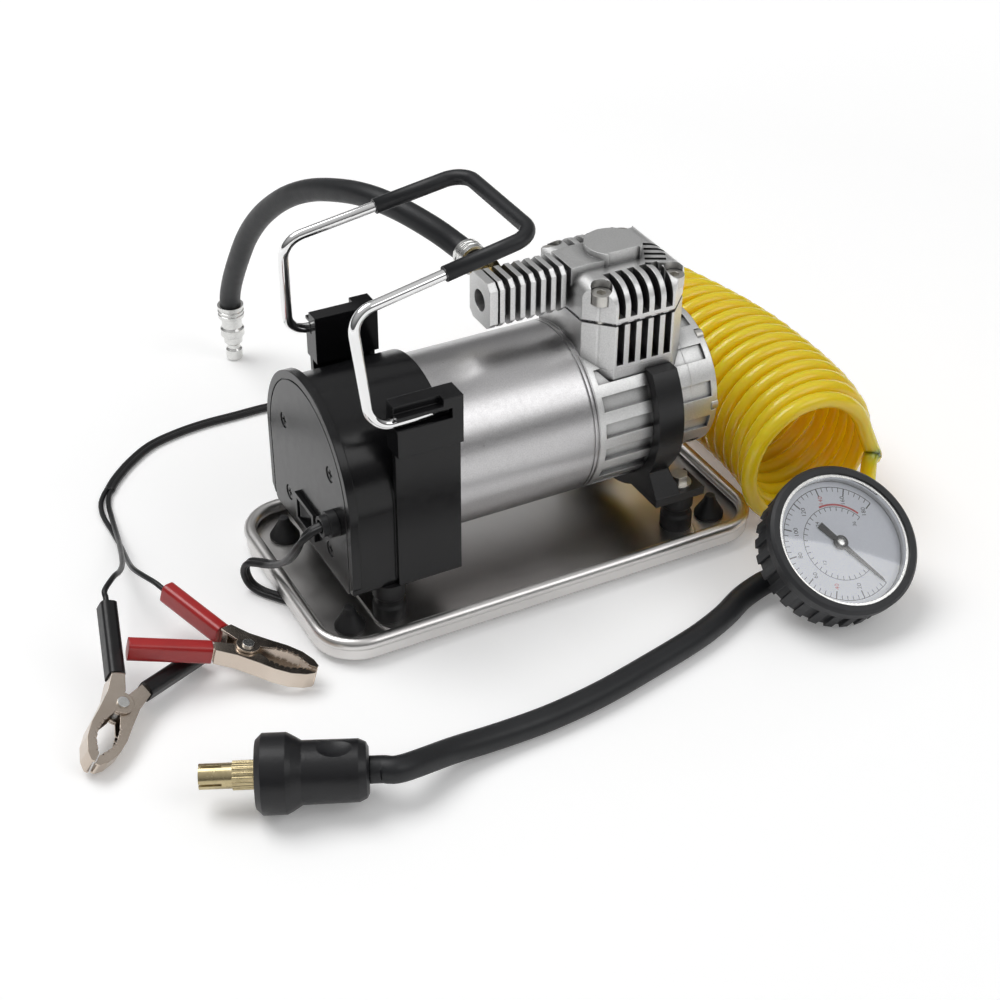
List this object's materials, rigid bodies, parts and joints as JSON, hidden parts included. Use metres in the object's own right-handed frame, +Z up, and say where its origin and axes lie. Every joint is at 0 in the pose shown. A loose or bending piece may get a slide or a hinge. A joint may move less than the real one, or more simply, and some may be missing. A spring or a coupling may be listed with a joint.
{
  "type": "portable tire inflator",
  "caption": "Portable 12 V tire inflator: direct-drive piston air pump on a pressed tray with cushioned mounts, carry handle, recoil air hose, dial gauge, valve chuck and battery clamps.",
  "frame": {"origin": "on the floor under the middle of the tray, the feet standing on z = 0", "axes": "+X along the motor from the front cover to the cylinder, +Z up, +Y completes the right hand and points to the side where the cord and the leader hose lie"},
  "size_m": [0.4095, 0.3629, 0.1768],
  "materials": {
    "tray_chrome": "polished",
    "foot_rubber": "matte",
    "zinc_steel": "satin",
    "cover_plastic": "fine grain",
    "black_screws": "satin",
    "grip_rubber": "matte",
    "switch_plastic": "gloss",
    "can_steel": "satin",
    "cap_plastic": "matte",
    "carbon": "matte graphite",
    "ferrite": "matte",
    "bearing_steel": "ground",
    "core_steel": "lacquered",
    "copper": "enamelled",
    "iron": "machined",
    "cast_alloy": "cast and bead blasted",
    "bracket_paint": "satin",
    "piston_seal": "filled fluoropolymer",
    "brass": "machined",
    "hose_rubber": "satin",
    "crimp_steel": "bright",
    "recoil_tube": "translucent",
    "gauge_rubber": "matte",
    "gauge_metal": "bright",
    "dial_paint": "matte",
    "lens": "clear",
    "needle_paint": "matte",
    "chuck_rubber": "satin",
    "cord_vinyl": "satin",
    "jaw_plate": "copper plated",
    "red_vinyl": "satin",
    "black_vinyl": "satin"
  },
  "bodies": {
    "inflator": {"tray": "tray_chrome", "tray_feet": "foot_rubber", "cushion_posts": "foot_rubber", "machine_bolts": "zinc_steel", "front_cover": "cover_plastic", "cover_screws": "black_screws", "strain_relief": "foot_rubber", "handle_frame": "tray_chrome", "handle_grip": "grip_rubber", "switch_housing": "switch_plastic", "motor_can": "can_steel", "brush_end_cap": "cap_plastic", "carbon_brushes": "carbon", "field_magnets": "ferrite", "shaft_bearings": "bearing_steel", "crankcase": "cast_alloy", "mounting_bracket": "bracket_paint", "rear_cover": "cast_alloy", "cylinder_block": "cast_alloy", "valve_plate": "bearing_steel", "cylinder_head": "cast_alloy", "outlet_fitting": "brass", "leader_hose": "hose_rubber", "hose_ferrules": "crimp_steel", "quick_plug": "zinc_steel", "recoil_hose": "recoil_tube", "recoil_tail": "recoil_tube", "recoil_coupler": "zinc_steel", "gauge_tee": "brass", "gauge_boot": "gauge_rubber", "gauge_case": "gauge_metal", "gauge_dial": "dial_paint", "gauge_lens": "lens", "whip_hose": "hose_rubber", "chuck_grip": "chuck_rubber", "power_cord": "cord_vinyl", "power_cord_coil": "cord_vinyl", "power_cord_rear": "cord_vinyl", "red_lead": "cord_vinyl", "black_lead": "cord_vinyl", "clamp_lower_jaws": "jaw_plate", "red_grip_fixed": "red_vinyl", "black_grip_fixed": "black_vinyl", "clamp_pivots": "zinc_steel"},
    "rocker": {"switch_rocker": "switch_plastic"},
    "rotor": {"armature_core": "core_steel", "armature_windings": "copper", "commutator": "copper", "motor_shaft": "bearing_steel", "crank_web": "iron"},
    "piston": {"connecting_rod": "cast_alloy", "piston_cup": "piston_seal", "crank_bearing": "bearing_steel"},
    "needle": {"gauge_needle": "needle_paint"},
    "red_jaw": {"red_clamp_jaw": "jaw_plate", "red_grip_moving": "red_vinyl"},
    "black_jaw": {"black_clamp_jaw": "jaw_plate", "black_grip_moving": "black_vinyl"},
    "chuck_collar": {"chuck_nut": "brass"},
    "release_sleeve": {"coupler_sleeve": "crimp_steel"}
  },
  "joints": [
    {"name": "rocker_tilt", "type": "hinge", "parent": "inflator", "child": "rocker", "pos_m": [-0.09, 0.002, 0.041], "axis": [0, 0, 1], "range_deg": [-18, 0]},
    {"name": "motor_spin", "type": "hinge", "parent": "inflator", "child": "rotor", "pos_m": [0, 0, 0.065], "axis": [1, 0, 0], "continuous": true},
    {"name": "piston_stroke", "type": "slide", "parent": "inflator", "child": "piston", "axis": [0, 0, 1], "range_m": [0, 0.016]},
    {"name": "needle_turn", "type": "hinge", "parent": "inflator", "child": "needle", "pos_m": [0.1106, -0.102, 0.01621], "axis": [0, -0.5736, 0.8192], "range_deg": [-270, 0], "stiffness_Nm_per_rad": 0.001, "springref_deg": 5.73},
    {"name": "red_clamp_open", "type": "hinge", "parent": "inflator", "child": "red_jaw", "pos_m": [-0.1425, -0.0415, 0.0128], "axis": [0.2374, -0.0679, 0.969], "range_deg": [-16, 0], "stiffness_Nm_per_rad": 1.2, "springref_deg": 11.46},
    {"name": "black_clamp_open", "type": "hinge", "parent": "inflator", "child": "black_jaw", "pos_m": [-0.201, -0.049, 0.0114], "axis": [0.3127, -0.4083, 0.8576], "range_deg": [0, 16], "stiffness_Nm_per_rad": 1.2, "springref_deg": -11.46},
    {"name": "chuck_collar_turn", "type": "hinge", "parent": "inflator", "child": "chuck_collar", "pos_m": [-0.187, -0.1066, 0.0161], "axis": [0.915, -0.4035, 0], "continuous": true},
    {"name": "release_sleeve_slide", "type": "slide", "parent": "inflator", "child": "release_sleeve", "axis": [0.9818, 0.0456, 0.1841], "range_m": [-0.0035, 0], "stiffness_N_per_m": 900, "springref_m": 0.003}
  ]
}
